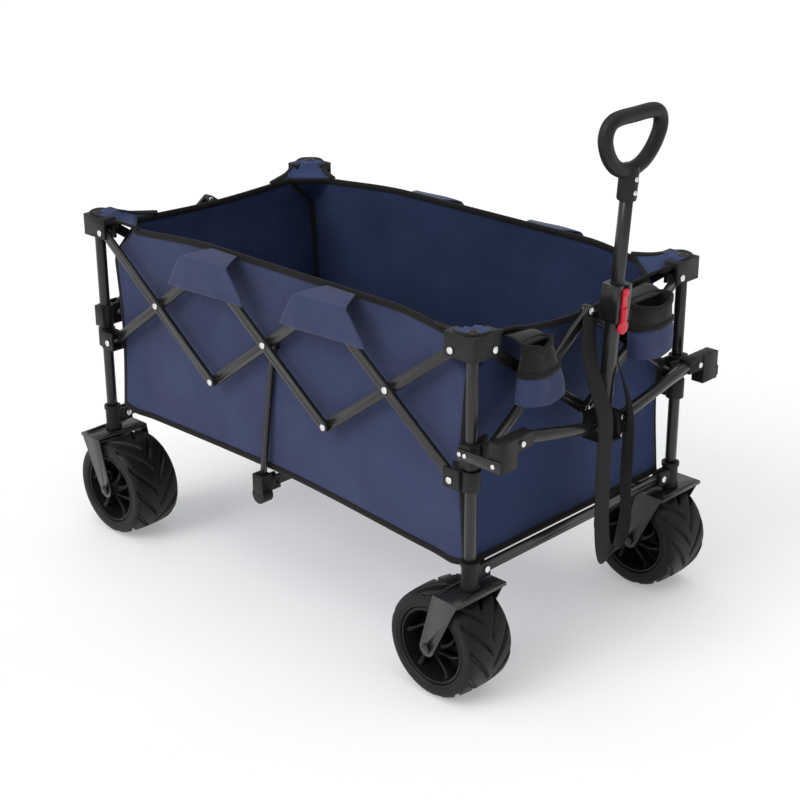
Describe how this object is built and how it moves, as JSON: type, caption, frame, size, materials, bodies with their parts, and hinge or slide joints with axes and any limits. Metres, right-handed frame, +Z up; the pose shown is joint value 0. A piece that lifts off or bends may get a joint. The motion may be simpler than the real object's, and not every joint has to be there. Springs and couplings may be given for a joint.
{
  "type": "folding beach cart",
  "caption": "Folding beach cart: a navy fabric tub hung in a black scissor frame on four wide wheels, with cup pockets and a telescoping pull handle.",
  "frame": {"origin": "on the ground under the middle of the footprint", "axes": "+X towards the pull handle, +Z up, left is -Y"},
  "size_m": [1.089, 0.6626, 0.9484],
  "materials": {
    "black_steel": "semi-gloss powder coat",
    "black_plastic": "fine texture",
    "rivet_steel": "zinc plated",
    "axle_steel": "black oxide",
    "navy_fabric": "woven polyester",
    "webbing": "flat webbing",
    "hub_plastic": "moulded",
    "tyre_rubber": "matte",
    "red_plastic": "moulded"
  },
  "bodies": {
    "rear_frame": {"posts_rear": "black_steel", "caps_rear": "black_plastic", "sockets_rear": "black_plastic", "brackets_rear": "black_plastic", "end_bars_rear": "black_steel", "rivets_rear": "rivet_steel", "floor_bar_rear": "black_steel", "fork_rear_left": "black_steel", "fork_rear_right": "black_steel", "axles_rear": "axle_steel", "tub_rear": "navy_fabric", "tub_side_left": "navy_fabric", "tub_side_right": "navy_fabric", "tub_floor": "navy_fabric"},
    "front_frame": {"posts_front": "black_steel", "caps_front": "black_plastic", "sockets_front": "black_plastic", "brackets_front": "black_plastic", "end_bars_front": "black_steel", "rivets_front": "rivet_steel", "floor_bar_front": "black_steel", "plates_front": "black_steel", "tub_front": "navy_fabric", "cup_left": "navy_fabric", "cup_right": "navy_fabric", "crossbar": "black_steel", "handle_block": "black_plastic", "strap": "webbing"},
    "bar_1": {"side_bars_1": "black_steel", "rivets_bar_1": "rivet_steel"},
    "bar_2": {"side_bars_2": "black_steel", "rivets_bar_2": "rivet_steel"},
    "bar_3": {"side_bars_3": "black_steel", "rivets_bar_3": "rivet_steel"},
    "bar_4": {"side_bars_4": "black_steel", "rivets_bar_4": "rivet_steel"},
    "bar_5": {"side_bars_5": "black_steel"},
    "bar_6": {"side_bars_6": "black_steel", "rivets_bar_6": "rivet_steel"},
    "slider_rear": {"sliders_rear": "black_plastic"},
    "slider_front": {"sliders_front": "black_plastic"},
    "centre_leg": {"centre_legs": "black_steel", "centre_feet": "black_plastic", "floor_bar_centre": "black_steel"},
    "caster_left": {"fork_front_left": "black_steel", "axle_front_left": "axle_steel"},
    "caster_right": {"fork_front_right": "black_steel", "axle_front_right": "axle_steel"},
    "handle_lower": {"handle_outer": "black_steel"},
    "handle_upper": {"handle_inner": "black_steel", "grip": "black_plastic"},
    "latch": {"latch": "red_plastic"},
    "wheel_rear_left": {"hub_rear_left": "hub_plastic", "tyre_rear_left": "tyre_rubber"},
    "wheel_rear_right": {"hub_rear_right": "hub_plastic", "tyre_rear_right": "tyre_rubber"},
    "wheel_front_left": {"hub_front_left": "hub_plastic", "tyre_front_left": "tyre_rubber"},
    "wheel_front_right": {"hub_front_right": "hub_plastic", "tyre_front_right": "tyre_rubber"}
  },
  "joints": [
    {"name": "fold", "type": "hinge", "parent": "rear_frame", "child": "bar_1", "pos_m": [-0.465, 0, 0.603], "axis": [0, 1, 0], "range_deg": [0, 32], "deforming": ["tub_side_left", "tub_side_right", "tub_floor"]},
    {"name": "cross_1", "type": "hinge", "parent": "bar_1", "child": "bar_2", "pos_m": [-0.31767, 0, 0.4945], "axis": [0, 1, 0], "range_deg": [-64, 0]},
    {"name": "low_apex_1", "type": "hinge", "parent": "bar_1", "child": "bar_3", "pos_m": [-0.17033, 0, 0.386], "axis": [0, 1, 0], "range_deg": [-64, 0]},
    {"name": "cross_2", "type": "hinge", "parent": "bar_3", "child": "bar_4", "pos_m": [-0.023, 0, 0.4945], "axis": [0, 1, 0], "range_deg": [0, 64]},
    {"name": "top_apex_2", "type": "hinge", "parent": "bar_3", "child": "bar_6", "pos_m": [0.12433, 0, 0.603], "axis": [0, 1, 0], "range_deg": [0, 64]},
    {"name": "cross_3", "type": "hinge", "parent": "bar_6", "child": "bar_5", "pos_m": [0.27167, 0, 0.4945], "axis": [0, 1, 0], "range_deg": [-64, 0]},
    {"name": "front_cap_pivot", "type": "hinge", "parent": "bar_5", "child": "front_frame", "pos_m": [0.419, 0, 0.603], "axis": [0, 1, 0], "range_deg": [0, 32]},
    {"name": "rear_slider_pivot", "type": "hinge", "parent": "bar_2", "child": "slider_rear", "pos_m": [-0.465, 0, 0.386], "axis": [0, 1, 0], "range_deg": [0, 32]},
    {"name": "front_slider_pivot", "type": "hinge", "parent": "bar_6", "child": "slider_front", "pos_m": [0.419, 0, 0.386], "axis": [0, 1, 0], "range_deg": [-32, 0]},
    {"name": "leg_pivot", "type": "hinge", "parent": "bar_3", "child": "centre_leg", "pos_m": [-0.023, 0, 0.4945], "axis": [0, 1, 0], "range_deg": [0, 32]},
    {"name": "caster_swivel_left", "type": "hinge", "parent": "front_frame", "child": "caster_left", "pos_m": [0.447, -0.268, 0.198], "axis": [0, 0, 1], "continuous": true},
    {"name": "wheel_spin_rear_left", "type": "hinge", "parent": "rear_frame", "child": "wheel_rear_left", "pos_m": [-0.453, -0.268, 0.095], "axis": [0, 1, 0], "continuous": true},
    {"name": "wheel_spin_front_left", "type": "hinge", "parent": "caster_left", "child": "wheel_front_left", "pos_m": [0.407, -0.268, 0.095], "axis": [0, 1, 0], "continuous": true},
    {"name": "caster_swivel_right", "type": "hinge", "parent": "front_frame", "child": "caster_right", "pos_m": [0.447, 0.268, 0.198], "axis": [0, 0, 1], "continuous": true},
    {"name": "wheel_spin_rear_right", "type": "hinge", "parent": "rear_frame", "child": "wheel_rear_right", "pos_m": [-0.453, 0.268, 0.095], "axis": [0, 1, 0], "continuous": true},
    {"name": "wheel_spin_front_right", "type": "hinge", "parent": "caster_right", "child": "wheel_front_right", "pos_m": [0.407, 0.268, 0.095], "axis": [0, 1, 0], "continuous": true},
    {"name": "handle_tilt", "type": "hinge", "parent": "front_frame", "child": "handle_lower", "pos_m": [0.494, 0, 0.418], "axis": [0, 1, 0], "range_deg": [0, 100]},
    {"name": "handle_slide", "type": "slide", "parent": "handle_lower", "child": "handle_upper", "axis": [0.0698, 0, 0.9976], "range_m": [-0.06, 0.065]},
    {"name": "latch_lever", "type": "hinge", "parent": "handle_lower", "child": "latch", "pos_m": [0.52595, 0, 0.65134], "axis": [0, -1, 0], "range_deg": [0, 14], "stiffness_Nm_per_rad": 0.08}
  ],
  "couplings": [
    {"joint": "cross_1", "follows": "fold", "ratio": -2},
    {"joint": "low_apex_1", "follows": "fold", "ratio": -2},
    {"joint": "cross_2", "follows": "fold", "ratio": 2},
    {"joint": "top_apex_2", "follows": "fold", "ratio": 2},
    {"joint": "cross_3", "follows": "fold", "ratio": -2},
    {"joint": "front_cap_pivot", "follows": "fold", "ratio": 1},
    {"joint": "rear_slider_pivot", "follows": "fold", "ratio": 1},
    {"joint": "front_slider_pivot", "follows": "fold", "ratio": -1},
    {"joint": "leg_pivot", "follows": "fold", "ratio": 1}
  ]
}
